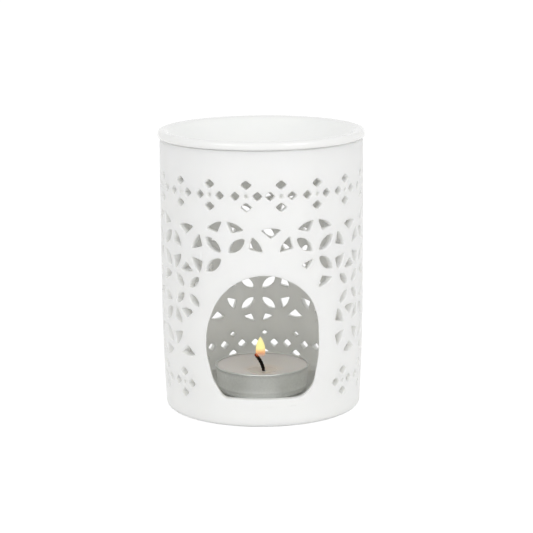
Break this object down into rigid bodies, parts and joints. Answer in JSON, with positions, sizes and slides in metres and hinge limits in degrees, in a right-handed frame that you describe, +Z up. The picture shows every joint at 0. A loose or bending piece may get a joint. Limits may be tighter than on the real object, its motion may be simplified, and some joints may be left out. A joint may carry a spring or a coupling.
{
  "type": "essential oil burner",
  "caption": "round pierced porcelain burner with a barrelled wall, an arched opening for a tealight, petal and diamond piercings, and a shallow lift-off dish for water and oil on top",
  "frame": {"origin": "middle of the foot, on the surface that the burner stands on", "axes": "+Z up, along the wall and through the dish; the arched opening faces -Y; +X is to the right of someone who looks into the arch"},
  "size_m": [0.0816, 0.0816, 0.1111],
  "materials": {
    "porcelain": "satin",
    "glazed_porcelain": "gloss",
    "cup_aluminium": "satin",
    "wax": "satin",
    "wick_cotton": "matte",
    "sustainer_steel": "satin"
  },
  "bodies": {
    "burner": {"burner_body": "porcelain"},
    "dish": {"oil_dish": "glazed_porcelain"},
    "tealight": {"tealight_cup": "cup_aluminium", "tealight_wax": "wax", "wick": "wick_cotton", "wick_sustainer": "sustainer_steel"}
  },
  "joints": [
    {"name": "dish_lift", "type": "slide", "parent": "burner", "child": "dish", "axis": [0, 0, 1], "range_m": [0, 0.03]},
    {"name": "tealight_slide", "type": "slide", "parent": "burner", "child": "tealight", "axis": [0, -0.9063, 0.4226], "range_m": [0, 0.07]}
  ]
}
